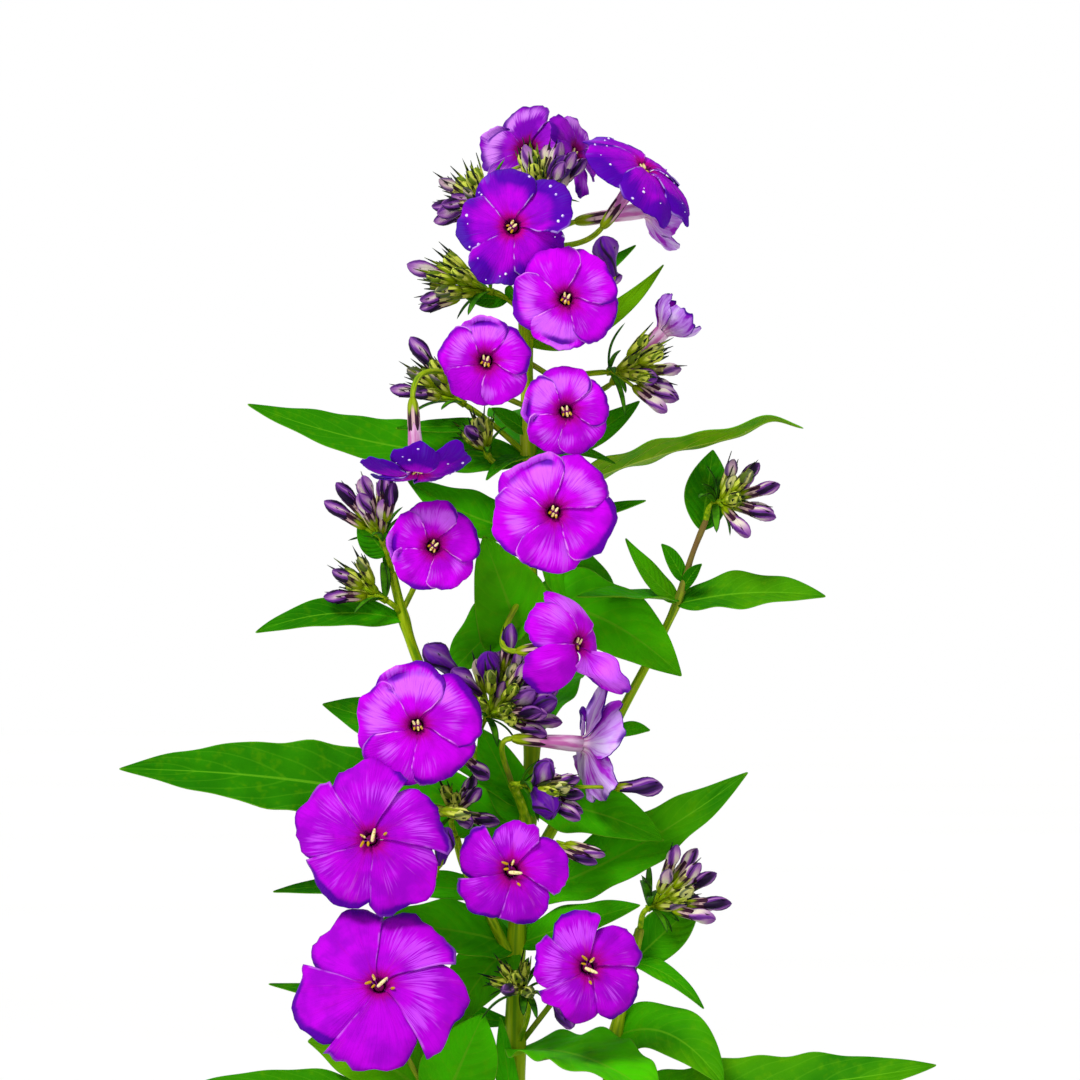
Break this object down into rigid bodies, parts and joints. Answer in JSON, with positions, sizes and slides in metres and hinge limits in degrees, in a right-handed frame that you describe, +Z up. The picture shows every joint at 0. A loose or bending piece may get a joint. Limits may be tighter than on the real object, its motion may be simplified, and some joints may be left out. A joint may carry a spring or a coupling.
{
  "type": "potted phlox plant",
  "caption": "Upright garden phlox with leafy stems, open magenta-violet blooms and sprays of buds, standing in a plain clay pot.",
  "frame": {"origin": "middle of the flat underside of the pot's foot", "axes": "+Z up along the pot and the main stem; -Y is the side that most blooms face; +X is to the right when they are seen from the front"},
  "size_m": [0.2042, 0.146, 0.4747],
  "materials": {
    "clay": "matte fired clay",
    "soil": "crumbly",
    "leaf": "satin",
    "petal": "soft matte",
    "bud": "satin"
  },
  "bodies": {
    "root": {"pot": "clay", "soil": "soil", "leafy_stem_centre": "leaf", "leafy_stem_left": "leaf", "leafy_stem_right": "leaf", "bloom_base_left": "petal", "bloom_base_right": "petal", "bloom_crown_left": "petal", "bloom_crown_right": "petal", "bloom_crown_side_high": "petal", "bloom_crown_side_low": "petal", "bloom_lower_centre": "petal", "bloom_lower_left_high": "petal", "bloom_lower_left_wide": "petal", "bloom_middle_centre": "petal", "bloom_middle_left": "petal", "bloom_nodding": "petal", "bloom_right_opening": "petal", "bloom_top_front": "petal", "bloom_turned_left": "petal", "bloom_turned_right": "petal", "bloom_upper_centre": "petal", "bloom_upper_left": "petal", "bloom_upper_right": "petal", "buds_base": "bud", "buds_centre": "bud", "buds_centre_low": "bud", "buds_crown": "bud", "buds_crown_left": "bud", "buds_left_inner": "bud", "buds_middle_left_high": "bud", "buds_middle_left_low": "bud", "buds_right_low": "bud", "buds_shoot_left": "bud", "buds_shoot_left_low": "bud", "buds_shoot_right": "bud", "buds_upper_left": "bud", "buds_upper_right": "bud"}
  },
  "joints": []
}
